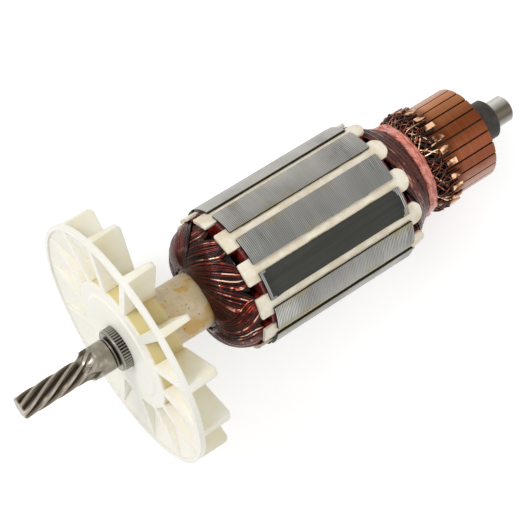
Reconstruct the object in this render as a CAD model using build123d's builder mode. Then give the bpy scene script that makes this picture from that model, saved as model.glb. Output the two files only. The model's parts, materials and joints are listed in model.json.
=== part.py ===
from build123d import *
import os
from math import asin, atan, cos, degrees, pi, radians, sin, sqrt, tan

os.makedirs("parts", exist_ok=True)

# Millimetres. The armature lies on two fan blades and on its far end, so its shaft leans.
# Stations are measured along the shaft from the drive end, angles about it from straight up.

# How far a cut reaches past the surface that it leaves
overcut = 1.0

# Pinion, cut into the drive end of the shaft
pinion_teeth = 7
pinion_tip_radius = 3.65
pinion_root_radius = 2.75
pinion_helix = 23
pinion_length = 20.8
pinion_flare = 2.6
pinion_runout = 2.6
tooth_root_width = 2.0
tooth_tip_width = 0.8
tip_chamfer = 0.4

# Shaft
drive_journal_radius = 5.0
drive_journal_length = 8.5
groove_width = 0.45
groove_depth = 0.35
groove_pitch = 0.9
groove_count = 2
knurl_radius = 6.95
knurl_exposed = 3.3
knurl_ridges = 44
knurl_depth = 0.45
knurl_shoulder = 0.8
core_seat_radius = 6.0
commutator_seat_radius = 5.25
end_journal_radius = 4.5
end_journal_length = 7.2
end_chamfer = 0.7

# Fan
blade_count = 14
fan_radius = 40.7
fan_depth = 11.4
rim_width = 1.6
rim_thickness = 1.8
web_thickness = 1.8
hub_ring_radius = 21.8
hub_ring_wall = 2.0
hub_ring_depth = 10.8
face_recess = 0.5
face_thickness = 2.0
boss_radius = 16.8
boss_edge = 1.0
rear_boss_radius = 11.0
rear_boss_depth = 8.0
pocket_floor_depth = 5.0
blade_root = 2.8
blade_tip = 1.7
blade_corner = 1.6
blade_lap = 0.3

# Insulating sleeve on the shaft between fan and core
sleeve_radius = 9.25
sleeve_edge = 0.8

# Laminated core
slot_count = 12
core_radius = 23.65
core_length = 52.1
fan_to_core = 40.7
tooth_width = 4.2
slot_opening = 2.9
lip_thickness = 1.3
lip_slope = 0.4
slot_bottom_radius = 11.5
recess_depth = 1.0
recess_runout = 5.0
recess_margin = 0.8

# Insulation in and around the core, the wedges' corners as shares of their width
end_disk_thickness = 1.0
liner_wall = 0.35
liner_overhang = 3.2
wedge_thickness = 0.8
wedge_overhang_drive = 4.3
wedge_overhang_far = 4.7
wedge_rounding_drive = 0.09
wedge_rounding_far = 0.42
fit_gap = 0.05

# Winding heads: (distance from the liners' end, radius at the wires' crests, angle of their slant)
head_drive_shape = [
    (0, 19.6, 0),
    (3.2, 18.6, 10),
    (5.8, 17.4, 20),
    (7.6, 15.6, 29),
    (9.2, 12.9, 38),
    (9.9, 10.5, 44),
]
head_far_shape = [
    (0, 20.7, 0),
    (2.6, 20.0, -8),
    (5.2, 18.2, -16),
    (7.6, 16.3, -24),
    (9.4, 15.2, -30),
]
head_groove = 0.7
head_under_wedges = 0.85
head_far_bore = 6.3

# Leads and the cord that ties them
lead_radius = 0.35
lead_bed_radius = 14.2
lead_bed_wall = 1.2
lead_bulge_radius = 16.6
lead_bulge_back = 2.2
lead_bend = 0.8
lead_end = 3.0
cord_width = 3.6
cord_height = 1.7
cord_edge = 0.8

# Commutator
bar_count = 24
bar_radius = 15.75
bar_length = 18.8
bar_gap = 0.55
bar_depth = 4.2
bar_edge = 1.5
bar_waist = 2.2
bar_foot = 1.0
core_to_bars = 21.3
hook_width = 1.8
hook_thickness = 0.7
hook_length = 3.8
mica_recess = 0.6
moulding_front = 0.8
moulding_end = 0.6
moulding_rim = 2.4

# Collar between commutator and far journal
collar_radius = 6.7
collar_length = 9.8
collar_chamfer = 0.8

# Stations
journal_start = pinion_length + pinion_flare
knurl_start = journal_start + drive_journal_length
fan_front = knurl_start + knurl_exposed
fan_rear = fan_front + fan_depth
sleeve_start = fan_front + rear_boss_depth
core_start = fan_front + fan_to_core
core_end = core_start + core_length
drive_disk_start = core_start - end_disk_thickness
head_drive_start = core_start - liner_overhang
head_far_start = core_end + liner_overhang
lead_bed_start = head_far_start + head_far_shape[-1][0]
bars_start = core_end + core_to_bars
bars_end = bars_start + bar_length
moulding_start = bars_start - moulding_front
collar_start = bars_end + moulding_end
collar_end = collar_start + collar_length
shaft_end = collar_end + end_journal_length

# Angles: two blades share the weight, and slots and bars line up with the blades
blade_pitch = 360 / blade_count
slot_pitch = 360 / slot_count
bar_pitch = 360 / bar_count
first_blade = blade_pitch / 2
first_slot = first_blade
first_bar = first_blade

# The shaft leans until the floor under the two lower blades meets the core or the commutator
blade_drop = fan_radius * cos(radians(first_blade) - blade_tip / 2 / fan_radius)
lean_to_core = (blade_drop - core_radius) / (core_end - fan_rear + blade_corner)
lean_to_bars = (blade_drop - bar_radius) / (bars_end - fan_rear + blade_corner)
lean = atan(min(lean_to_core, lean_to_bars))
corner_drop = (blade_drop - blade_corner) * cos(lean) + blade_corner
tip_height = corner_drop + (fan_rear - blade_corner) * sin(lean)
left_reach = pinion_tip_radius * sin(lean)
right_reach = shaft_end * cos(lean) + end_journal_radius * sin(lean)

forward = Vector(cos(lean), 0, -sin(lean))
upward = Vector(sin(lean), 0, cos(lean))
sideways = Vector(0, -1, 0)
shaft_tip = Vector(-(right_reach - left_reach) / 2, 0, tip_height)
shaft_axis = Axis(shaft_tip, forward)


def outward(turn):
    """The direction square to the shaft at an angle about it."""
    return upward * cos(radians(turn)) + sideways * sin(radians(turn))


def across(station, turn=0):
    """A plane square to the shaft, its x pointing outward at the angle."""
    return Plane(origin=shaft_tip + forward * station, x_dir=outward(turn), z_dir=forward)


def along(turn=0):
    """The plane through the shaft at the angle: x is the station and y the radius."""
    return Plane(origin=shaft_tip, x_dir=forward, z_dir=forward.cross(outward(turn)))


def turned(points):
    """A closed outline of (station, radius) points, to be revolved about the shaft."""
    with BuildSketch(along()) as outline:
        with BuildLine():
            Polyline(*points, close=True)
        make_face()
    return outline.sketch


def save(part, name):
    part.label = name
    export_step(part, f"parts/{name}.step")


# Shaft: the teeth twist through the flare, and their spaces run out into the journal
helix_twist = -degrees(tan(radians(pinion_helix)) / (0.5 * (pinion_tip_radius + pinion_root_radius)))
teeth_end = journal_start + pinion_runout
with BuildSketch() as tooth_section:
    Circle(pinion_root_radius)
    with PolarLocations(0, pinion_teeth):
        Polygon(
            (0, -tooth_root_width / 2),
            (pinion_root_radius, -tooth_root_width / 2),
            (pinion_tip_radius, -tooth_tip_width / 2),
            (drive_journal_radius + overcut, -tooth_root_width / 2),
            (drive_journal_radius + overcut, tooth_root_width / 2),
            (pinion_tip_radius, tooth_tip_width / 2),
            (pinion_root_radius, tooth_root_width / 2),
            (0, tooth_root_width / 2),
            align=None,
        )
twisted_teeth = Solid.extrude_linear_with_rotation(
    tooth_section.face(), (0, 0, 0), (0, 0, teeth_end), helix_twist * teeth_end
)

with BuildPart() as shaft:
    with BuildSketch(along()):
        with BuildLine():
            Line((0, 0), (0, pinion_tip_radius - tip_chamfer))
            Line((0, pinion_tip_radius - tip_chamfer), (tip_chamfer, pinion_tip_radius))
            Line((tip_chamfer, pinion_tip_radius), (pinion_length, pinion_tip_radius))
            TangentArc(
                (pinion_length, pinion_tip_radius), (journal_start, drive_journal_radius), tangent=(1, 0)
            )
            Line((journal_start, drive_journal_radius), (teeth_end, drive_journal_radius))
            Line((teeth_end, drive_journal_radius), (teeth_end, 0))
            Line((teeth_end, 0), (0, 0))
        make_face()
    revolve(axis=shaft_axis)
    add(across(0).location * twisted_teeth, mode=Mode.INTERSECT)
    with BuildSketch(along()):
        with BuildLine():
            Line((0, 0), (0, pinion_root_radius))
            Line((0, pinion_root_radius), (pinion_length, pinion_root_radius))
            TangentArc((pinion_length, pinion_root_radius), (teeth_end, drive_journal_radius), tangent=(1, 0))
            Line((teeth_end, drive_journal_radius), (teeth_end, 0))
            Line((teeth_end, 0), (0, 0))
        make_face()
    revolve(axis=shaft_axis)
    revolve(
        turned([
            (teeth_end, 0),
            (teeth_end, drive_journal_radius),
            (knurl_start, drive_journal_radius),
            (knurl_start, knurl_radius - tip_chamfer),
            (knurl_start + tip_chamfer, knurl_radius),
            (sleeve_start, knurl_radius),
            (sleeve_start, core_seat_radius),
            (core_end, core_seat_radius),
            (core_end, commutator_seat_radius),
            (collar_end, commutator_seat_radius),
            (collar_end, end_journal_radius),
            (shaft_end - end_chamfer, end_journal_radius),
            (shaft_end, end_journal_radius - end_chamfer),
            (shaft_end, 0),
        ]),
        axis=shaft_axis,
    )
    for groove in range(groove_count):
        groove_start = knurl_start - groove_width - groove * groove_pitch
        revolve(
            turned([
                (groove_start, drive_journal_radius - groove_depth),
                (groove_start, drive_journal_radius + overcut),
                (groove_start + groove_width, drive_journal_radius + overcut),
                (groove_start + groove_width, drive_journal_radius - groove_depth),
            ]),
            axis=shaft_axis,
            mode=Mode.SUBTRACT,
        )
    with BuildSketch(across(knurl_start + knurl_shoulder)):
        with PolarLocations(knurl_radius, knurl_ridges):
            Rectangle(knurl_depth * sqrt(2), knurl_depth * sqrt(2), rotation=45)
    extrude(amount=sleeve_start - knurl_start - knurl_shoulder, mode=Mode.SUBTRACT)
save(shaft.part, "shaft")

# Fan: a dished disk with a rim and a hub ring, pockets between ribs in front and blades behind
rim_inner = fan_radius - rim_width
rim_rear = fan_front + rim_thickness
hub_ring_inner = hub_ring_radius - hub_ring_wall
face_start = fan_front + face_recess
blade_foot = hub_ring_radius - blade_lap
with BuildPart() as blades:
    for blade in range(blade_count):
        turn = first_blade + blade * blade_pitch
        with BuildSketch(across(face_start, turn)):
            with Locations((fan_radius / 2 + blade_foot / 2, 0)):
                Rectangle(fan_radius - blade_foot + overcut, blade_root)
        with BuildSketch(across(fan_rear, turn)):
            with Locations((fan_radius / 2 + blade_foot / 2, 0)):
                Rectangle(fan_radius - blade_foot + overcut, blade_tip)
        loft()
    with BuildSketch(along()) as blade_outline:
        with BuildLine():
            Polyline(
                (face_start, blade_foot),
                (face_start, fan_radius),
                (fan_rear, fan_radius),
                (fan_rear, blade_foot),
                close=True,
            )
        make_face()
        fillet(blade_outline.vertices().sort_by(lambda v: v.X + v.Y)[-1], blade_corner)
    revolve(axis=shaft_axis, mode=Mode.INTERSECT)

with BuildPart() as fan:
    revolve(
        turned([
            (fan_front, knurl_radius),
            (fan_front, boss_radius),
            (face_start, boss_radius + boss_edge),
            (face_start, hub_ring_radius),
            (fan_front + pocket_floor_depth, hub_ring_radius),
            (face_start, rim_inner),
            (fan_front, rim_inner),
            (fan_front, fan_radius),
            (rim_rear, fan_radius),
            (fan_front + pocket_floor_depth + web_thickness, hub_ring_radius),
            (fan_front + hub_ring_depth, hub_ring_radius),
            (fan_front + hub_ring_depth, hub_ring_inner),
            (face_start + face_thickness, hub_ring_inner),
            (face_start + face_thickness, rear_boss_radius),
            (sleeve_start, rear_boss_radius),
            (sleeve_start, knurl_radius),
        ]),
        axis=shaft_axis,
    )
    add(blades.part)
save(fan.part, "fan")

# Insulating sleeve: from the fan's boss to the core, under the winding head
with BuildPart() as insulating_sleeve:
    revolve(
        turned([
            (sleeve_start, core_seat_radius),
            (sleeve_start, sleeve_radius - sleeve_edge),
            (sleeve_start + sleeve_edge, sleeve_radius),
            (drive_disk_start, sleeve_radius),
            (drive_disk_start, core_seat_radius),
        ]),
        axis=shaft_axis,
    )
save(insulating_sleeve.part, "insulating_sleeve")

# Slot, liner, bundle and wedge share one cross-section, drawn for a slot on the x axis
half_slot = radians(slot_pitch / 2)
lip_radius = core_radius - lip_thickness
wedge_radius = lip_radius - wedge_thickness


def slot_side(radius, inset=0):
    """Half the slot's width at a radius, between parallel-sided teeth."""
    return (radius * sin(half_slot) - tooth_width / 2) / cos(half_slot) - inset


def slot_shape(bottom, top, inset):
    """The slot's body between two radii, as a closed outline."""
    return [
        (bottom, -slot_side(bottom, inset)),
        (top, -slot_side(top, inset)),
        (top, slot_side(top, inset)),
        (bottom, slot_side(bottom, inset)),
    ]


def core_section():
    """One lamination: a disk with the slots cut from its edge."""
    with BuildSketch() as section:
        Circle(core_radius)
        Circle(core_seat_radius, mode=Mode.SUBTRACT)
        with PolarLocations(0, slot_count, start_angle=first_slot):
            Polygon(*slot_shape(slot_bottom_radius, lip_radius, 0), align=None, mode=Mode.SUBTRACT)
            Polygon(
                (lip_radius, -slot_side(lip_radius)),
                (lip_radius + lip_slope, -slot_opening / 2),
                (core_radius + overcut, -slot_opening / 2),
                (core_radius + overcut, slot_opening / 2),
                (lip_radius + lip_slope, slot_opening / 2),
                (lip_radius, slot_side(lip_radius)),
                align=None,
                mode=Mode.SUBTRACT,
            )
    return section.sketch


# Lamination stack, with one tooth milled to balance the rotor
milled_tooth = first_slot + slot_pitch / 2
mill_start = core_start + recess_margin
mill_end = core_end - recess_margin
mill_floor = core_radius - recess_depth
with BuildPart() as lamination_stack:
    with BuildSketch(across(core_start)):
        add(core_section())
    extrude(amount=core_length)
    with BuildSketch(along(milled_tooth)):
        with BuildLine():
            Line((mill_start + recess_runout, mill_floor), (mill_end - recess_runout, mill_floor))
            TangentArc((mill_end - recess_runout, mill_floor), (mill_end, core_radius), tangent=(1, 0))
            Line((mill_end, core_radius), (mill_end, core_radius + overcut))
            Line((mill_end, core_radius + overcut), (mill_start, core_radius + overcut))
            Line((mill_start, core_radius + overcut), (mill_start, core_radius))
            TangentArc((mill_start + recess_runout, mill_floor), (mill_start, core_radius), tangent=(-1, 0))
        make_face()
    extrude(amount=core_radius * sin(half_slot), both=True, mode=Mode.SUBTRACT)
save(lamination_stack.part, "lamination_stack")

# Fibre disks at both ends of the stack, cut like the laminations
for name, station in (("end_disk_drive", drive_disk_start), ("end_disk_far", core_end)):
    with BuildPart() as end_disk:
        with BuildSketch(across(station)):
            add(core_section())
            Circle(lip_radius, mode=Mode.INTERSECT)
        extrude(amount=end_disk_thickness)
    save(end_disk.part, name)

# Slot liners and wedges
liner_bottom = slot_bottom_radius + fit_gap
liner_top = wedge_radius - fit_gap
for slot in range(slot_count):
    turn = first_slot + slot * slot_pitch
    with BuildPart() as slot_liner:
        with BuildSketch(across(head_drive_start, turn)):
            Polygon(*slot_shape(liner_bottom, liner_top, fit_gap), align=None)
            Polygon(
                *slot_shape(liner_bottom + liner_wall, liner_top + liner_wall, fit_gap + liner_wall),
                align=None,
                mode=Mode.SUBTRACT,
            )
        extrude(amount=head_far_start - head_drive_start)
    save(slot_liner.part, f"slot_liner_{slot + 1:02d}")
    wedge_start = core_start - wedge_overhang_drive
    wedge_end = core_end + wedge_overhang_far
    wedge_width = 2 * slot_side(lip_radius)
    with BuildPart() as slot_wedge:
        with BuildSketch(across(wedge_start, turn)):
            Polygon(
                (wedge_radius, -slot_side(wedge_radius, fit_gap)),
                (lip_radius - fit_gap, -slot_side(lip_radius, 2 * fit_gap)),
                (lip_radius + lip_slope - fit_gap, -slot_opening / 2),
                (lip_radius + lip_slope - fit_gap, slot_opening / 2),
                (lip_radius - fit_gap, slot_side(lip_radius, 2 * fit_gap)),
                (wedge_radius, slot_side(wedge_radius, fit_gap)),
                align=None,
            )
        extrude(amount=wedge_end - wedge_start)
        lying = Plane(origin=across(wedge_start).origin, x_dir=forward, z_dir=outward(turn))
        with BuildSketch(lying.offset(wedge_radius - overcut)) as wedge_plan:
            with Locations(((wedge_end - wedge_start) / 2, 0)):
                Rectangle(wedge_end - wedge_start, wedge_width)
            fillet(wedge_plan.vertices().group_by(Axis.X)[0], wedge_rounding_drive * wedge_width)
            fillet(wedge_plan.vertices().group_by(Axis.X)[-1], wedge_rounding_far * wedge_width)
        extrude(amount=lip_thickness + wedge_thickness + overcut, mode=Mode.INTERSECT)
    save(slot_wedge.part, f"slot_wedge_{slot + 1:02d}")


def head_outline(radius, groove):
    """A closed curve with a crest at each bundle of wires."""
    steps = 4 * slot_count
    return [
        (
            (radius - groove * (1 - cos(2 * pi * step / 4)) / 2) * cos(2 * pi * step / steps),
            (radius - groove * (1 - cos(2 * pi * step / 4)) / 2) * sin(2 * pi * step / steps),
        )
        for step in range(steps)
    ]


# Winding: a bundle through each slot, and the slanting coils of the two heads
bundle_bottom = liner_bottom + liner_wall + fit_gap
bundle_top = liner_top - fit_gap
with BuildPart() as winding:
    for start, shape, side in ((head_drive_start, head_drive_shape, -1), (head_far_start, head_far_shape, 1)):
        for distance, radius, slant in shape:
            crest = min(radius, wedge_radius - head_under_wedges)
            with BuildSketch(across(start + side * distance, first_slot + slant)):
                with BuildLine():
                    Spline(*head_outline(crest, head_groove), periodic=True)
                make_face()
        loft()
    with BuildSketch(across(head_drive_start - head_drive_shape[-1][0])):
        Circle(sleeve_radius + fit_gap)
    extrude(amount=head_drive_shape[-1][0], mode=Mode.SUBTRACT)
    with BuildSketch(across(head_far_start)):
        Circle(head_far_bore)
    extrude(amount=head_far_shape[-1][0], mode=Mode.SUBTRACT)
    with BuildSketch(across(head_drive_start)):
        with PolarLocations(0, slot_count, start_angle=first_slot):
            Polygon(*slot_shape(bundle_bottom, bundle_top, 2 * fit_gap + liner_wall), align=None)
    extrude(amount=head_far_start - head_drive_start)
save(winding.part, "winding")

# Commutator bars: dovetailed feet in the moulding and a hook over the leads
bar_profile = [
    (bars_start, bar_radius),
    (bars_end, bar_radius),
    (bars_end, bar_radius - bar_edge),
    (bars_end - bar_waist, bar_radius - (bar_edge + bar_depth) / 2),
    (bars_end - bar_foot, bar_radius - bar_depth),
    (bars_start + bar_foot, bar_radius - bar_depth),
    (bars_start + bar_waist, bar_radius - (bar_edge + bar_depth) / 2),
    (bars_start, bar_radius - bar_edge),
]
half_bar = radians(bar_pitch / 2)
bar_inside = bar_radius - bar_depth - overcut
bar_outside = bar_radius + overcut
hook_base = bar_radius - bar_edge / 2
hook_under = bar_radius + 2 * lead_radius + 2 * fit_gap
hook_top = hook_under + hook_thickness
bar_shapes = []


def bar_side(radius):
    """Half a bar's width at a radius."""
    return (radius * sin(half_bar) - bar_gap / 2) / cos(half_bar)


for bar in range(bar_count):
    turn = first_bar + bar * bar_pitch
    with BuildPart() as commutator_bar:
        with BuildSketch(across(bars_start, turn)):
            Polygon(
                (bar_inside, -bar_side(bar_inside)),
                (bar_outside, -bar_side(bar_outside)),
                (bar_outside, bar_side(bar_outside)),
                (bar_inside, bar_side(bar_inside)),
                align=None,
            )
        extrude(amount=bar_length)
        revolve(turned(bar_profile), axis=shaft_axis, mode=Mode.INTERSECT)
        with BuildSketch(along(turn)):
            Polygon(
                (bars_start, hook_base),
                (bars_start, hook_top),
                (bars_start + hook_length, hook_top),
                (bars_start + hook_length, hook_under),
                (bars_start + hook_thickness, hook_under),
                (bars_start + hook_thickness, hook_base),
                align=None,
            )
        extrude(amount=hook_width / 2, both=True)
    bar_shapes.append(commutator_bar.part)
    save(commutator_bar.part, f"commutator_bar_{bar + 1:02d}")

# Commutator moulding, with a fin between each two bars
with BuildPart() as commutator_moulding:
    revolve(
        turned([
            (moulding_start, commutator_seat_radius),
            (moulding_start, lead_bed_radius),
            (bars_start, lead_bed_radius),
            (bars_start, bar_radius - mica_recess),
            (bars_end, bar_radius - mica_recess),
            (bars_end, bar_radius - moulding_rim),
            (collar_start, bar_radius - moulding_rim - moulding_end),
            (collar_start, commutator_seat_radius),
        ]),
        axis=shaft_axis,
    )
    for shape in bar_shapes:
        add(shape, mode=Mode.SUBTRACT)
save(commutator_moulding.part, "commutator_moulding")

# Leads: they leave the far head side by side, rise and lie on the bars beside the hooks
lead_centre = lead_bed_radius + lead_radius
lead_turn = degrees(asin((hook_width / 2 + lead_radius + fit_gap) / bar_radius))
cord_end = lead_bed_start + cord_width
with BuildPart() as leads:
    revolve(
        turned([
            (lead_bed_start, lead_bed_radius - lead_bed_wall),
            (lead_bed_start, lead_bed_radius),
            (moulding_start, lead_bed_radius),
            (moulding_start, lead_bed_radius - lead_bed_wall),
        ]),
        axis=shaft_axis,
    )
    for bar in range(bar_count):
        turn = first_bar + bar * bar_pitch + lead_turn
        with BuildLine(along(turn)) as lead_path:
            FilletPolyline(
                (cord_end + lead_radius, lead_centre - lead_radius),
                (bars_start - lead_bulge_back, lead_bulge_radius),
                (bars_start, bar_radius + lead_radius + fit_gap),
                (bars_start + lead_end, bar_radius + lead_radius + fit_gap),
                radius=lead_bend,
            )
        with BuildSketch(Plane(origin=lead_path.line @ 0, z_dir=lead_path.line % 0)):
            Circle(lead_radius)
        sweep(path=lead_path.line)
save(leads.part, "leads")

# Lashing cord: a thick flattened ring that ties the leads down behind the head
with BuildPart() as lashing_cord:
    with BuildSketch(along()):
        with Locations((lead_bed_start + cord_width / 2, lead_bed_radius + cord_height / 2)):
            RectangleRounded(cord_width, cord_height, cord_edge)
    revolve(axis=shaft_axis)
save(lashing_cord.part, "lashing_cord")

# Collar between commutator and far journal
with BuildPart() as end_collar:
    revolve(
        turned([
            (collar_start, commutator_seat_radius),
            (collar_start, collar_radius - collar_chamfer),
            (collar_start + collar_chamfer, collar_radius),
            (collar_end - collar_chamfer, collar_radius),
            (collar_end, collar_radius - collar_chamfer),
            (collar_end, commutator_seat_radius),
        ]),
        axis=shaft_axis,
    )
save(end_collar.part, "end_collar")
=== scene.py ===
import bpy
import json
import random
from math import cos, pi, radians, sin
from mathutils import Matrix, Vector


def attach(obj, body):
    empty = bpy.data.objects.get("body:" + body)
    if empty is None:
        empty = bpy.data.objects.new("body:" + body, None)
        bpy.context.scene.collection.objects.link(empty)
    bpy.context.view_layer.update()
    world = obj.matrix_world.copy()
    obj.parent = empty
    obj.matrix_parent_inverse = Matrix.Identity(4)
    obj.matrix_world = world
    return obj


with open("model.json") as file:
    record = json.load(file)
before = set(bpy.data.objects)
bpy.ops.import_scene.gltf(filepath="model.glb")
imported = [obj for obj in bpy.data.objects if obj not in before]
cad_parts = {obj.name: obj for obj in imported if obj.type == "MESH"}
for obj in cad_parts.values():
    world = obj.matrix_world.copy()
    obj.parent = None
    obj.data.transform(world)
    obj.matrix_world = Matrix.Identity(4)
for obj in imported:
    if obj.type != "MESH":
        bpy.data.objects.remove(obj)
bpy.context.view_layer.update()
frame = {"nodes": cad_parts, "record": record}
nodes = frame["nodes"]
print("frame loaded:", len(nodes), "nodes")

# The far journal's mount gives the shaft's line and its lean
mounts = {mount["name"]: mount for mount in frame["record"]["mounts"]}
forward = Vector(mounts["far_journal"]["axis"]).normalized()
upward = Vector((-forward.z, 0, forward.x))
sideways = Vector((0, -1, 0))
shaft = {  # stations in metres from the drive end, turns in degrees from straight up
    "coreStart": 0.0759,
    "coreEnd": 0.128,
    "linerOverhang": 0.0032,
    "farJournal": 0.18175,
    "firstSlot": 360 / 28,
    "slotPitch": 30,
    "barPitch": 15,
    "milledTooth": 360 / 28 + 15,
    "flatLit": 22,  # where a lamp overhead lights the rotor flat
    "flatReach": (4, 78),  # from there to the shaded flanks
    "patternRadius": 0.02,
}
shaftTip = Vector(mounts["far_journal"]["pos_m"]) - forward * shaft["farJournal"]


def place(station, radius, turn):  # a point along, out from and round the shaft
    out = upward * cos(radians(turn)) + sideways * sin(radians(turn))
    return shaftTip + forward * station + out * radius


def tone(red, green, blue):  # a colour as a screen shows it, 0 to 255, as linear light
    return tuple(((channel / 255 + 0.055) / 1.055) ** 2.4 for channel in (red, green, blue))


class Signal:  # an output socket, with the sums that the materials use
    def __init__(self, shader, socket):
        self.shader = shader
        self.socket = socket

    def __add__(self, other):
        return self.shader.maths("ADD", self, other)

    def __sub__(self, other):
        return self.shader.maths("SUBTRACT", self, other)

    def __rsub__(self, other):
        return self.shader.maths("SUBTRACT", other, self)

    def __mul__(self, other):
        return self.shader.maths("MULTIPLY", self, other)

    def __truediv__(self, other):
        return self.shader.maths("DIVIDE", self, other)

    def __pow__(self, other):
        return self.shader.maths("POWER", self, other)

    __radd__ = __add__
    __rmul__ = __mul__


class Shader:
    def __init__(self, name):
        self.material = bpy.data.materials.new(name)
        self.material.use_nodes = True
        self.tree = self.material.node_tree
        self.tree.nodes.clear()
        self.coordinates()

    def node(self, kind, settings, sockets, output=0):
        made = self.tree.nodes.new(kind)
        for key, value in settings.items():
            if key == "stops":
                ramp = made.color_ramp
                while len(ramp.elements) < len(value):
                    ramp.elements.new(0.5)
                for element, (position, colour) in zip(ramp.elements, value):
                    element.position = position
                    element.color = (*colour, 1)
            else:
                setattr(made, key, value)
        for key, value in sockets.items():
            if isinstance(value, Signal):
                self.tree.links.new(value.socket, made.inputs[key])
            else:
                made.inputs[key].default_value = value
        return Signal(self, made.outputs[output]) if len(made.outputs) else made

    def maths(self, operation, first, second=0.0, third=0.0):
        sockets = {0: first, 1: second, 2: third}
        return self.node("ShaderNodeMath", {"operation": operation}, sockets)

    def vector(self, operation, first, second, output=0):
        sockets = {0: first, 1: second}
        return self.node("ShaderNodeVectorMath", {"operation": operation}, sockets, output)

    def point(self, along, up, side):
        return self.node("ShaderNodeCombineXYZ", {}, {0: along, 1: up, 2: side})

    def step(self, value, low, high):  # 0 below low, 1 above high, smooth between
        settings = {"interpolation_type": "SMOOTHSTEP"}
        sockets = {0: value, 1: low, 2: high, 3: 0.0, 4: 1.0}
        return self.node("ShaderNodeMapRange", settings, sockets)

    def band(self, value, low, high, soft):  # 1 between low and high
        rising = self.step(value, low - soft, low + soft)
        return rising * (1 - self.step(value, high - soft, high + soft))

    def mix(self, factor, first, second):
        first, second = [(*c, 1) if isinstance(c, tuple) else c for c in (first, second)]
        settings = {"data_type": "RGBA", "clamp_factor": True}
        return self.node("ShaderNodeMix", settings, {0: factor, 6: first, 7: second}, 2)

    def ramp(self, value, stops):
        return self.node("ShaderNodeValToRGB", {"stops": stops}, {0: value})

    def noise(self, where, scale, detail):
        sockets = {"Vector": where, "Scale": scale, "Detail": detail, "Roughness": 0.55}
        return self.node("ShaderNodeTexNoise", {}, sockets)

    def coordinates(self):
        self.spot = self.node("ShaderNodeTexCoord", {}, {}, "Object")
        arm = self.vector("SUBTRACT", self.spot, shaftTip)
        self.station = self.vector("DOT_PRODUCT", arm, forward, 1)
        up = self.vector("DOT_PRODUCT", arm, upward, 1)
        side = self.vector("DOT_PRODUCT", arm, sideways, 1)
        self.radius = (up * up + side * side) ** 0.5
        self.turn = self.maths("ARCTAN2", side, up)
        self.local = self.point(self.station, up, side)
        around = {0: self.point(0.0, up, side)}
        unit = self.node("ShaderNodeVectorMath", {"operation": "NORMALIZE"}, around)
        self.circle = self.vector("MULTIPLY", unit, (shaft["patternRadius"],) * 3)
        # Shade is 0 on the side that is lit flat and 1 on the flanks
        away = self.maths("ABSOLUTE", self.turn - radians(shaft["flatLit"]))
        self.shade = self.step(away, *[radians(turn) for turn in shaft["flatReach"]])
        # Offset is the distance round from the middle of the nearest slot
        pitch = radians(shaft["slotPitch"])
        turned = self.turn - radians(shaft["firstSlot"])
        turns = self.maths("WRAP", turned, pitch / 2, -pitch / 2)
        self.offset = self.maths("ABSOLUTE", turns) * self.radius

    def stretched(self, along, around):  # a pattern's scales along and round the shaft
        lengthways = self.point(self.station * along, 0.0, 0.0)
        across = self.vector("MULTIPLY", self.circle, (around,) * 3)
        return self.vector("ADD", lengthways, across)

    def bumped(self, height, distance, strength, normal):
        sockets = {"Height": height, "Distance": distance, "Strength": strength}
        if normal:
            sockets["Normal"] = normal
        return self.node("ShaderNodeBump", {}, sockets)

    def rounded(self, radius):  # soft edges on machined and moulded pieces
        return self.node("ShaderNodeBevel", {"samples": 4}, {"Radius": radius})

    def finish(self, sockets):
        surface = self.node("ShaderNodeBsdfPrincipled", {}, sockets)
        self.node("ShaderNodeOutputMaterial", {}, {"Surface": surface})
        return self.material


# In the dictionaries of the finishes, a pair is where a change of tone starts and ends
steel = {
    "flank": (0.0028, 0.0034),  # radius, from the teeth's roots, in painted shade, up their flanks
    "shadow": (radians(-60), radians(50)),  # turn, from the shaded teeth to the lit ones
    "crest": (0.00354, 0.00361),  # radius, at the tips of the teeth, which get a painted highlight
    "endFace": (0.0002, 0.0005),
    "teethEnd": (0.0205, 0.0225),
    "ringsStart": (0.03, 0.0302),
    "ringsDepth": (0.0047, 0.0049),
    "knurlStart": (0.0318, 0.032),
    "knurlDepth": (0.0065, 0.0069),
    "farHalf": (0.05, 0.06),
    "farShine": [  # painted reflection round the far journal, from its back to its back again
        (0.0, tone(120, 114, 106)), (0.3, tone(206, 202, 196)), (0.52, tone(96, 88, 76)),
        (0.72, tone(92, 86, 76)), (1.0, tone(190, 188, 182)),
    ],
}


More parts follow.
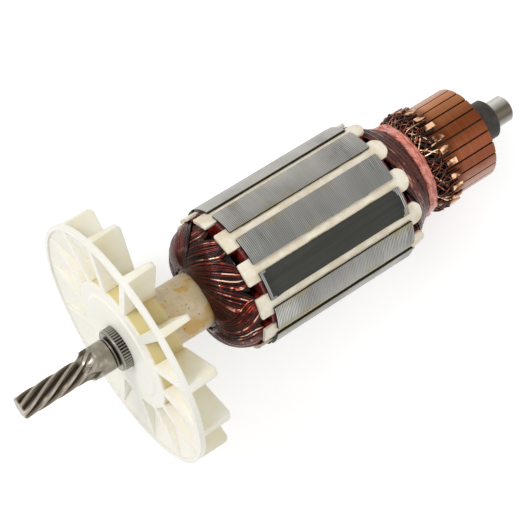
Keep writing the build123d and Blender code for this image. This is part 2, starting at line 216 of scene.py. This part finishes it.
def shaftSteel():
    s = Shader("shaftSteel")
    turned = s.noise(s.stretched(9000, 12), 1.0, 2.0)
    stains = s.noise(s.local, 260, 4.0)
    ground = s.mix(s.step(stains, 0.35, 0.7), tone(134, 128, 116), tone(170, 164, 151))
    # Painted shade in the pinion's roots, lighter up the flanks
    flank = s.mix(s.step(s.radius, *steel["flank"]), tone(56, 48, 40), tone(124, 114, 100))
    shadow = (1 - s.step(s.turn, *steel["shadow"])) * 0.45
    dim = s.mix(shadow, flank, tone(58, 50, 41))
    endFace = 1 - s.step(s.station, *steel["endFace"])
    # Painted highlight on the teeth's crests; the end face takes the same light tone
    crestLight = s.maths("MAXIMUM", s.step(s.radius, *steel["crest"]), endFace)
    tooth = s.mix(crestLight * 0.8, dim, tone(168, 160, 146))
    teeth = s.mix(s.step(s.station, *steel["teethEnd"]), tooth, ground)
    # Painted shade in the journal's ring grooves
    sunkShade = 1 - s.step(s.radius, *steel["ringsDepth"])
    journal = s.mix(s.step(s.station, *steel["ringsStart"]) * sunkShade, teeth, tone(44, 39, 33))
    # Painted shade in the knurl's grooves, light on its ridges
    knurl = s.mix(s.step(s.radius, *steel["knurlDepth"]), tone(36, 32, 27), tone(158, 153, 144))
    drive = s.mix(s.step(s.station, *steel["knurlStart"]), journal, knurl)
    far = s.ramp(s.turn / radians(180) + 0.5, steel["farShine"])
    return s.finish({
        "Base Color": s.mix(s.step(s.station, *steel["farHalf"]), drive, far),
        "Metallic": 1.0,
        "Roughness": 0.22 + 0.16 * turned,
        "Normal": s.bumped(turned, 0.00002, 0.5, s.rounded(0.0002)),
    })


moulding = {
    "hubRing": 0.0218,
    "rearSlope": 0.26,  # how the disk's rear leans forward as the radius grows
    "rear": (0.0408, 0.0422),
    "web": (0.0369, 0.0375),
    "wallInside": (0.0214, 0.0217),  # the hub ring's wall, seen through the windows, in painted shade
    "wallOutside": (0.0219, 0.0222),
    "wallFront": (0.0359, 0.0366),
    # painted shade at the blades' roots
    "bladeRoot": (0.0219, 0.027),
}


def fanPlastic():
    s = Shader("fanPlastic")
    cloud = s.noise(s.spot, 60, 3.0)
    grain = s.noise(s.spot, 2400, 3.0)
    cloudy = s.step(cloud, 0.3, 0.75)
    face = s.mix(cloudy, tone(247, 242, 229), tone(250, 246, 234))
    # Painted shade: the blades behind the disk a warmer, darker cream than the face
    blade = s.mix(cloudy, tone(240, 232, 204), tone(250, 246, 230))
    slope = s.station + moulding["rearSlope"] * (s.radius - moulding["hubRing"])
    behind = s.step(slope, *moulding["rear"]) * s.step(s.station, *moulding["web"])
    within = 1 - s.step(s.radius, *moulding["wallOutside"])
    wall = within * s.step(s.radius, *moulding["wallInside"])
    # Painted shade on the hub ring's wall, olive where it shows through the windows
    sunkShade = wall * s.step(s.station, *moulding["wallFront"])
    # Painted shade at the blades' roots, olive by the hub
    root = behind * (1 - s.step(s.radius, *moulding["bladeRoot"]))
    hollow = s.mix(sunkShade, s.mix(behind, face, blade), tone(218, 205, 152))
    return s.finish({
        "Base Color": s.mix(root * 0.55, hollow, tone(212, 192, 136)),
        "Roughness": 0.34 + 0.12 * cloud,
        "Normal": s.bumped(grain, 0.00003, 0.3, s.rounded(0.0004)),
        "Subsurface Weight": 0.4,
        "Subsurface Radius": (1.0, 0.93, 0.8),
        "Subsurface Scale": 0.004,
    })


sleeve = {"frontEdge": (0.0434, 0.0442), "rearEdge": (0.0632, 0.0655)}


def sleevePlastic():
    s = Shader("sleevePlastic")
    cloud = s.noise(s.spot, 150, 3.0)
    specks = s.noise(s.spot, 1100, 2.0)
    pale = s.step(s.noise(s.spot, 300, 4.0), 0.4, 0.65)
    cream = s.mix(pale, tone(214, 193, 152), tone(234, 217, 184))
    amber = s.mix(s.step(cloud, 0.47, 0.6), cream, tone(212, 172, 100))
    dotted = s.mix(s.step(specks, 0.66, 0.72) * 0.75, amber, tone(96, 62, 30))
    # Painted shadow at the sleeve's front end, from the fan hub, and painted shade at its rear
    # end, under the drive head
    rear = 1 - s.step(s.station, *sleeve["rearEdge"]) * 0.7
    middle = s.step(s.station, *sleeve["frontEdge"]) * rear
    return s.finish({
        "Base Color": s.mix(middle, tone(70, 52, 30), dotted),
        "Roughness": 0.34 + 0.2 * cloud,
        "Normal": s.bumped(cloud, 0.0002, 0.4, s.rounded(0.0003)),
    })


core = {
    "sheet": 0.00055,  # thickness of one lamination
    "plainFrom": shaft["coreStart"] + 0.008,
    "plainTo": shaft["coreEnd"] - 0.011,
    "plainSoft": 0.006,
    "varnish": (0.002, 0.0044),
    "rim": (0.02355, 0.02362),
    "millFloor": (0.0222, 0.0225),
    "millFrom": shaft["coreStart"] + 0.0009,
    "millTo": shaft["coreEnd"] - 0.0017,
    "millHalf": 9.8,
    "millSoft": 0.004,
    "millEndSoft": 0.0002,
}


def coreSteel():
    s = Shader("coreSteel")
    sheets = s.maths("SINE", s.station * (2 * pi / core["sheet"]))
    patch = s.noise(s.stretched(60, 90), 1.0, 3.0)
    fine = s.noise(s.stretched(6500, 160), 1.0, 2.0)
    glare = s.noise(s.stretched(110, 30), 1.0, 2.0)
    middle = s.band(s.station, core["plainFrom"], core["plainTo"], core["plainSoft"])
    lined = s.step(patch, 0.4, 0.62) * (1 - 0.75 * middle)
    # Painted reflection: the teeth darker on the flat-lit side, lighter on the flanks
    plain = s.mix(s.shade, tone(118, 118, 116), tone(172, 168, 161))
    cloudy = s.mix(s.step(patch, 0.35, 0.7) * 0.35, plain, tone(96, 97, 94))
    # Lamination lines, with painted glints and painted reflection bands from the glare
    streak = s.step(sheets * 0.5 + 1.1 * (fine - 0.5) + 1.5 * (glare - 0.5), -0.45, 0.75)
    lines = s.mix(streak, tone(64, 65, 63), tone(226, 225, 220))
    sheet = s.mix(0.16 + 0.62 * lined, cloudy, lines)
    stains = (1 - s.step(s.offset, *core["varnish"])) * s.step(patch, 0.5, 0.62)
    varnished = s.mix(stains * 0.6, sheet, tone(146, 134, 92))
    scored = s.noise(s.stretched(30, 700), 1.0, 3.0)
    milled = s.mix(scored, tone(48, 48, 46), tone(66, 66, 62))
    # Under the teeth's rim: the milled recess dark grey, and below its floor the slot walls
    # near black as painted shade
    wall = s.mix(s.step(s.radius, *core["millFloor"]), tone(34, 28, 24), milled)
    low, high = [radians(shaft["milledTooth"] + side * core["millHalf"]) for side in (-1, 1)]
    tooth = s.band(s.turn, low, high, core["millSoft"])
    recess = tooth * s.band(s.station, core["millFrom"], core["millTo"], core["millEndSoft"])
    outside = s.step(s.radius, *core["rim"]) * (1 - recess)
    return s.finish({
        "Base Color": s.mix(outside, wall, varnished),
        "Metallic": 1.0,
        "Roughness": 0.38 + 0.14 * patch,
        "Normal": s.bumped(sheets * 0.5 + fine, 0.00003, 0.3, s.rounded(0.00025)),
    })


def fibre(name, pale, dark, scale):
    s = Shader(name)
    cloud = s.noise(s.spot, scale, 4.0)
    grain = s.noise(s.stretched(500, 2600), 1.0, 3.0)
    return s.finish({
        "Base Color": s.mix(s.step(cloud * 0.6 + grain * 0.4, 0.38, 0.62), dark, pale),
        "Roughness": 0.4 + 0.25 * cloud,
        "Normal": s.bumped(grain * 0.6 + cloud, 0.0002, 0.6, s.rounded(0.0003)),
        "Coat Weight": 0.5,
        "Coat Roughness": 0.12,
    })


wedge = {
    "soaked": (0.0008, 0.0016),  # distance from the slot's middle, where varnish creeps in
    "ragged": 0.0012,
    "soft": 0.0004,
}


def wedgeFibre():
    s = Shader("wedgeFibre")
    cloud = s.noise(s.spot, 190, 4.0)
    cream = s.mix(s.step(cloud, 0.38, 0.62), tone(226, 213, 186), tone(244, 236, 218))
    inside = s.band(s.station, shaft["coreStart"], shaft["coreEnd"], wedge["soft"])
    soaked = s.step(s.offset + wedge["ragged"] * (cloud - 0.5), *wedge["soaked"]) * inside
    return s.finish({
        "Base Color": s.mix(soaked * s.step(cloud, 0.42, 0.6), cream, tone(172, 156, 96)),
        "Roughness": 0.42 + 0.2 * cloud,
        "Normal": s.bumped(cloud, 0.0002, 0.5, s.rounded(0.0004)),
    })


wires = {  # where the light glints, how few wires glint, and tones from dark to glint
    "windingWire": {
        "glintBand": (0.0655, 0.0712),
        "few": 0.72,
        "tones": (tone(22, 8, 6), tone(92, 29, 19), tone(170, 54, 31), tone(255, 206, 180)),
    },
    "farWire": {
        "glintBand": (0.1325, 0.1365),
        "few": 0.78,
        "tones": (tone(34, 15, 12), tone(96, 48, 39), tone(120, 68, 54), tone(186, 134, 116)),
    },
    "leadWire": {
        "glintBand": (0.1435, 0.153),
        "few": 0.69,
        "tones": (tone(34, 16, 10), tone(122, 62, 38), tone(176, 100, 56), tone(255, 218, 176)),
    },
}
glint = {"soft": 0.0014, "turns": (radians(-36), radians(-6)), "shaded": 0.2}


def varnishedWire(name):  # each wire's own sheen decides how light it is
    s = Shader(name)
    wire = wires[name]
    few = wire["few"]
    dark, warm, bright, spark = wire["tones"]
    # Surfaces without the attribute read 0 and come out dark, as painted shade between the
    # wires
    sheen = s.node("ShaderNodeAttribute", {"attribute_name": "sheen"}, {}, "Fac")
    patches = s.noise(s.spot, 400, 2.0)
    soaked = s.noise(s.spot, 160, 3.0)
    value = sheen * 0.7 + (patches - 0.5) * 0.8 + 0.1
    red = s.mix(s.step(value, 0.2, 0.65), dark, warm)
    lampSide = glint["shaded"] + (1 - glint["shaded"]) * s.step(s.turn, *glint["turns"])
    sunny = s.band(s.station, *wire["glintBand"], glint["soft"]) * lampSide
    lit = s.mix(s.step(value, few - 0.12, few - 0.02) * sunny * 0.9, red, bright)
    return s.finish({
        "Base Color": s.mix(s.step(value, few, few + 0.06) * sunny, lit, spark),
        "Metallic": 0.85,
        "Roughness": 0.2 + 0.12 * soaked,
        "Coat Weight": 0.25,
        "Coat Roughness": 0.08,
    })


def cordVarnish():
    s = Shader("cordVarnish")
    cloud = s.noise(s.spot, 420, 4.0)
    streak = s.noise(s.stretched(2200, 140), 1.0, 3.0)
    pale = s.step(0.5 * cloud + 0.5 * streak, 0.38, 0.6)
    return s.finish({
        "Base Color": s.mix(pale, tone(172, 70, 56), tone(240, 152, 128)),
        "Roughness": 0.24,
        "Normal": s.bumped(cloud + streak, 0.0006, 0.9, None),
        "Coat Weight": 0.6,
        "Coat Roughness": 0.06,
    })


bars = {
    "burntEnd": (0.1535, 0.1562),
    "burntRagged": 0.003,
    "hook": (0.0159, 0.0164),
    "side": (0.0154, 0.0157),
    "shine": [  # painted reflection round the commutator, from its far flank over the top to the near one
        (0.0, tone(208, 178, 160)), (0.25, tone(174, 114, 76)), (0.5, tone(114, 58, 31)),
        (0.8, tone(132, 76, 54)), (1.0, tone(188, 154, 140)),
    ],
}


def barCopper():
    s = Shader("barCopper")
    turned = s.noise(s.stretched(6000, 25), 1.0, 2.0)
    cloud = s.noise(s.stretched(90, 160), 1.0, 3.0)
    # Painted reflection, from the shine ramp round the commutator
    copper = s.ramp(s.turn / radians(176) + 0.52 + 0.12 * (cloud - 0.5), bars["shine"])
    streaked = s.mix(s.step(turned, 0.5, 0.75) * 0.1, copper, tone(224, 170, 128))
    heat = 1 - s.step(s.station + bars["burntRagged"] * (cloud - 0.5), *bars["burntEnd"])
    burnt = s.mix(heat * 0.6, streaked, tone(84, 42, 22))
    # Painted glints: some hooks light, the others dark copper
    hookGlint = s.step(s.noise(s.spot, 330, 3.0), 0.42, 0.64)
    hook = s.mix(hookGlint, tone(92, 48, 27), tone(246, 200, 160))
    raised = s.mix(s.step(s.radius, *bars["hook"]), burnt, hook)
    side = 1 - s.step(s.radius, *bars["side"])
    return s.finish({
        "Base Color": s.mix(side * 0.8, raised, tone(72, 38, 18)),
        "Metallic": 1.0,
        "Roughness": 0.3 + 0.14 * cloud,
        "Normal": s.bumped(turned, 0.00002, 0.5, s.rounded(0.00015)),
    })


def darkMoulding(name, colour, light, rough):
    s = Shader(name)
    cloud = s.noise(s.spot, 300, 4.0)
    grain = s.noise(s.spot, 2600, 3.0)
    return s.finish({
        "Base Color": s.mix(s.step(cloud, 0.35, 0.7), colour, light),
        "Roughness": rough + 0.15 * cloud,
        "Normal": s.bumped(grain, 0.00004, 0.5, s.rounded(0.0003)),
        "Specular IOR Level": 0.3,
    })


brown = (tone(52, 32, 16), tone(84, 54, 28))
grey = (tone(44, 39, 35), tone(70, 62, 54))
finishes = {
    "shaft_steel": shaftSteel(),
    "fan_plastic": fanPlastic(),
    "sleeve_plastic": sleevePlastic(),
    "core_steel": coreSteel(),
    "end_disk": fibre("endDiskFibre", tone(140, 38, 28), tone(62, 14, 10), 380),
    "slot_liner": fibre("linerPaper", tone(172, 46, 36), tone(56, 12, 9), 420),
    "slot_wedge": wedgeFibre(),
    "winding_wire": varnishedWire("windingWire"),
    "far_wire": varnishedWire("farWire"),
    "lead_wire": varnishedWire("leadWire"),
    "lashing_cord": cordVarnish(),
    "bar_copper": barCopper(),
    "commutator_moulding": darkMoulding("mouldingBrown", *brown, 0.45),
    "collar_plastic": darkMoulding("collarGrey", *grey, 0.4),
}
slots = {part["node"]: part["material_slot"] for part in frame["record"]["subparts"]}
for name, piece in nodes.items():
    piece.data.materials.clear()
    piece.data.materials.append(finishes[slots[name]])
print("finishes on the nodes:", len(finishes))


def sheenEach(mesh):  # a random sheen for each wire, whose points follow one another
    farthest = list(range(len(mesh.vertices)))
    for edge in mesh.edges:
        low, high = sorted(edge.vertices)
        farthest[low] = max(farthest[low], high)
    reach = -1
    values = []
    for index, far in enumerate(farthest):
        if index > reach:
            value = random.random()
        reach = max(reach, far)
        values.append(value)
    mesh.attributes.new("sheen", "FLOAT", "POINT").data.foreach_set("value", values)
    print(mesh.name, "wires:", len(set(values)))


def wireMesh(name, paths, thickness, roundness, finish):  # wires along lists of points
    bpy.ops.object.select_all(action="DESELECT")
    curve = bpy.data.curves.new(name, "CURVE")
    curve.dimensions = "3D"
    curve.bevel_depth = thickness
    curve.bevel_resolution = roundness
    curve.use_fill_caps = True
    curve.resolution_u = 3
    for points in paths:
        spline = curve.splines.new("NURBS")
        spline.points.add(len(points) - 1)
        for point, spot in zip(spline.points, points):
            point.co = (*spot, 1)
        spline.order_u = 3
        spline.use_endpoint_u = True
    piece = bpy.data.objects.new(name, curve)
    bpy.context.scene.collection.objects.link(piece)
    bpy.context.view_layer.objects.active = piece
    piece.select_set(True)
    bpy.ops.object.convert(target="MESH")
    piece = bpy.context.view_layer.objects.active
    bpy.ops.object.shade_smooth()
    piece.data.materials.clear()
    piece.data.materials.append(finishes[finish])
    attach(piece, "root")
    sheenEach(piece.data)


random.seed(7)
driveHead = {
    "profile": [  # past the liners' end, radius, sweep round the shaft, spread of the wires
        (-0.0004, 0.0207, 0, 0.45),
        (0.0010, 0.0203, -1, 0.7),
        (0.0030, 0.0194, -5, 1.02),
        (0.0055, 0.0184, -11, 1.08),
        (0.0080, 0.0164, -20, 1.06),
        (0.0096, 0.0134, -34, 1.0),
        (0.0101, 0.0105, -52, 0.95),
    ],
    "start": shaft["coreStart"] - shaft["linerOverhang"],
    "side": -1,
    "slots": range(12),
    "wires": 16,
    "lift": 0.0,
    "thickness": 0.0003,
}
crossCoil = {  # the coil wound last lies over the others and slants the other way
    "profile": [
        (-0.0004, 0.0205, 0, 0.5),
        (0.0012, 0.0205, 2, 0.8),
        (0.0032, 0.0199, 7, 1.05),
        (0.0057, 0.0187, 13, 1.1),
        (0.0079, 0.0166, 19, 1.0),
        (0.0094, 0.0138, 23, 0.9),
        (0.0099, 0.0112, 26, 0.8),
    ],
    "start": shaft["coreStart"] - shaft["linerOverhang"],
    "side": -1,
    "slots": (1, 2, 3, 7, 8, 9),
    "wires": 17,
    "lift": 0.0004,
    "thickness": 0.0003,
}
farHead = {
    "profile": [
        (-0.0004, 0.0209, 0, 0.5),
        (0.0010, 0.0210, 6, 0.8),
        (0.0026, 0.0205, 26, 1.0),
        (0.0048, 0.0191, 60, 1.0),
        (0.0070, 0.0174, 96, 1.0),
        (0.0086, 0.0163, 126, 1.0),
        (0.0094, 0.0153, 150, 1.0),
    ],
    "start": shaft["coreEnd"] + shaft["linerOverhang"],
    "side": 1,
    "slots": range(12),
    "wires": 13,
    "lift": 0.0,
    "thickness": 0.00028,
}
lay = {"layers": 2, "drop": 0.0004, "crown": 0.00035, "wander": 0.6, "uneven": 0.00012}


def headWires(head):  # every slot sends out a band of wires that slants over the head
    paths = []
    for number in head["slots"]:
        middle = shaft["firstSlot"] + number * shaft["slotPitch"]
        for layer in range(lay["layers"]):
            for wire in range(head["wires"]):
                share = 2 * (wire + 0.5) / head["wires"] - 1  # -1 to 1 across the band
                crown = lay["crown"] * (1 - share * share) - lay["drop"] * layer + head["lift"]
                wander = random.uniform(-lay["wander"], lay["wander"])
                points = []
                for away, radius, sweep, spread in head["profile"]:
                    turn = middle + share * shaft["slotPitch"] / 2 * spread + sweep + wander
                    lift = crown + random.uniform(-lay["uneven"], lay["uneven"])
                    station = head["start"] + head["side"] * away
                    points.append(place(station, radius + lift, turn))
                paths.append(points)
    return paths


for name, head, finish in (
    ("drive_head_wires", driveHead, "winding_wire"),
    ("drive_cross_coil", crossCoil, "winding_wire"),
    ("far_head_wires", farHead, "far_wire"),
):
    wireMesh(name, headWires(head), head["thickness"], 1, finish)
print("winding heads wired")

# Lashing: strands twisted round the ring and pressed flat
lashing = {
    "middle": 0.1424,
    "radius": 0.01525,
    "across": 0.00115,
    "height": 0.00055,
    "twists": 11,
    "strands": 5,
    "stagger": 8,
    "looseAcross": 0.00006,
    "looseHeight": 0.00005,
    "thickness": 0.00072,
}
paths = []
for strand in range(lashing["strands"]):
    points = []
    for degree in range(361):
        roll = radians(lashing["twists"] * degree + 360 / lashing["strands"] * strand)
        wide = random.uniform(-lashing["looseAcross"], lashing["looseAcross"])
        high = random.uniform(-lashing["looseHeight"], lashing["looseHeight"])
        station = lashing["middle"] + (lashing["across"] * sin(roll) + wide)
        radius = lashing["radius"] + (lashing["height"] * cos(roll) + high)
        points.append(place(station, radius, degree + lashing["stagger"] * strand))
    paths.append(points)
wireMesh("lashing_strands", paths, lashing["thickness"], 2, "lashing_cord")
print("lashing twisted")

# Leads: a pair to each hook with a loop over it, and the turns that cross under them
leadSet = {
    "start": 0.1441,
    "bars": 24,
    "firstBar": 360 / 28,
    "pair": 3.5,
    "drift": 9,
    "rise": (-0.0002, 0.0005),
    "toHook": [  # past the start, radius, shares of the rise, of the drift and of the pair
        (0.0000, 0.0146, 0, 1, 0),
        (0.0014, 0.0158, 1, 0.8, 0),
        (0.0030, 0.0167, 1, 0.3, 1),
        (0.0048, 0.0167, 0, 0, 1.1),
        (0.0062, 0.0162, 0, 0, 1),
        (0.0082, 0.0161, 0, 0, 0.9),
    ],
    "loop": [  # past the start, radius, degrees from the bar's middle
        (0.0034, 0.0160, -4.2),
        (0.0042, 0.0173, -2.6),
        (0.0046, 0.0176, 0),
        (0.0042, 0.0173, 2.6),
        (0.0034, 0.0160, 4.2),
    ],
    "crossings": 110,
    "slant": (8, 26),
    "crossingRise": (0, 0.0009),
    "sway": 2,
    "crossing": [  # past the start, radius, shares of the rise, of the slant and of the sway
        (0.0000, 0.0144, 0, -1, 0),
        (0.0015, 0.0152, 1, -0.5, 0),
        (0.0030, 0.0159, 1, 0, 1),
        (0.0044, 0.0158, 1, 0.5, 0),
        (0.0052, 0.0150, 0, 1, 0),
    ],
    "thickness": 0.00024,
}


def bentLead(points, middle, rise, first, second):  # a lead by its points and their shares
    return [
        place(
            leadSet["start"] + away,
            radius + rise * raised,
            middle + first * firstShare + second * secondShare,
        )
        for away, radius, raised, firstShare, secondShare in points
    ]


paths = []
for bar in range(leadSet["bars"]):
    middle = leadSet["firstBar"] + bar * shaft["barPitch"]
    for side in (-1, 1):
        drift = random.uniform(-leadSet["drift"], leadSet["drift"])
        rise = random.uniform(*leadSet["rise"])
        paths.append(bentLead(leadSet["toHook"], middle, rise, drift, side * leadSet["pair"]))
    paths.append([
        place(leadSet["start"] + away, radius, middle + turn)
        for away, radius, turn in leadSet["loop"]
    ])
for number in range(leadSet["crossings"]):
    slant = random.choice((-1, 1)) * random.uniform(*leadSet["slant"])
    rise = random.uniform(*leadSet["crossingRise"])
    sway = random.uniform(-leadSet["sway"], leadSet["sway"])
    turn = 360 / leadSet["crossings"] * number
    paths.append(bentLead(leadSet["crossing"], turn, rise, slant, sway))
wireMesh("lead_wires", paths, leadSet["thickness"], 1, "lead_wire")
print("leads wired")

studio = {
    "floorSize": 6,
    "floorColour": (0.7, 0.7, 0.7, 1),
    "floorLift": 0.55,
    "white": (1, 1, 1, 1),
    "world": 0.68,
    "key": {"place": (-0.5, 0.35, 0.75), "size": 0.3, "power": 3.3},
    "fill": {"place": (0.45, -0.6, 0.6), "size": 0.7, "power": 1.2},
    "lens": 116.3,
    "sensor": 36,
    "turn": 8.26,  # degrees round the shaft from straight above it
    "swing": 19.237,  # towards the drive end
    "roll": 31.916,
    "cameraPlace": (-0.0848, 0.492, 0.0018),  # along the shaft, away from it and across
}


def seenDirectly(tree):  # 1 for what the camera sees, also in a mirror, and 0 for light
    rays = tree.nodes.new("ShaderNodeLightPath")
    seen = tree.nodes.new("ShaderNodeMath")
    seen.operation = "MAXIMUM"
    tree.links.new(rays.outputs["Is Camera Ray"], seen.inputs[0])
    tree.links.new(rays.outputs["Is Glossy Ray"], seen.inputs[1])
    return seen.outputs[0]


# Floor: pale, and lifted to white for the camera so that only the shadow is left
bpy.ops.object.select_all(action="DESELECT")
bpy.ops.mesh.primitive_plane_add(size=studio["floorSize"], location=(0, 0, 0))
floor = bpy.context.active_object
floor.name = "floor"
paper = bpy.data.materials.new("floorPaper")
paper.use_nodes = True
tree = paper.node_tree
surface = tree.nodes["Principled BSDF"]
surface.inputs["Base Color"].default_value = studio["floorColour"]
surface.inputs["Roughness"].default_value = 0.9
surface.inputs["Specular IOR Level"].default_value = 0.0
surface.inputs["Emission Color"].default_value = studio["white"]
lift = tree.nodes.new("ShaderNodeMath")
lift.operation = "MULTIPLY"
lift.inputs[1].default_value = studio["floorLift"]
tree.links.new(seenDirectly(tree), lift.inputs[0])
tree.links.new(lift.outputs[0], surface.inputs["Emission Strength"])
floor.data.materials.append(paper)

# World: even light from all round, and white where it is seen
world = bpy.data.worlds.new("studioWorld")
world.use_nodes = True
bpy.context.scene.world = world
tree = world.node_tree
background = tree.nodes["Background"]
background.inputs["Color"].default_value = studio["white"]
strength = tree.nodes.new("ShaderNodeMapRange")
strength.inputs["To Min"].default_value = studio["world"]
strength.inputs["To Max"].default_value = 1.0
tree.links.new(seenDirectly(tree), strength.inputs["Value"])
tree.links.new(strength.outputs[0], background.inputs["Strength"])

for name in ("key", "fill"):
    lamp = studio[name]
    light = bpy.data.lights.new(name, "AREA")
    light.size = lamp["size"]
    light.energy = lamp["power"]
    holder = bpy.data.objects.new(name, light)
    holder.location = lamp["place"]
    holder.rotation_mode = "QUATERNION"
    holder.rotation_quaternion = (-Vector(lamp["place"])).to_track_quat("-Z", "Y")
    bpy.context.scene.collection.objects.link(holder)

# Camera: nearly over the shaft, from the drive end, rolled as the photograph is
turn, swing, roll = [radians(studio[key]) for key in ("turn", "swing", "roll")]
towards = upward * cos(turn) + sideways * sin(turn)
across = sideways * cos(turn) - upward * sin(turn)
level = forward * cos(swing) + towards * sin(swing)
right = level * cos(roll) + across * sin(roll)
down = across * cos(roll) - level * sin(roll)
ahead = forward * sin(swing) - towards * cos(swing)
cameraData = bpy.data.cameras.new("camera")
cameraData.lens = studio["lens"]
cameraData.sensor_width = studio["sensor"]
camera = bpy.data.objects.new("camera", cameraData)
bpy.context.scene.collection.objects.link(camera)
camera.matrix_world = Matrix((
    (right.x, -down.x, -ahead.x, 0),
    (right.y, -down.y, -ahead.y, 0),
    (right.z, -down.z, -ahead.z, 0),
    (0, 0, 0, 1),
))
along, above, beside = studio["cameraPlace"]
camera.location = shaftTip + forward * along + towards * above + across * beside
bpy.context.scene.camera = camera
bpy.context.scene.view_settings.view_transform = "Standard"
print("studio and camera placed")

bpy.context.view_layer.update()
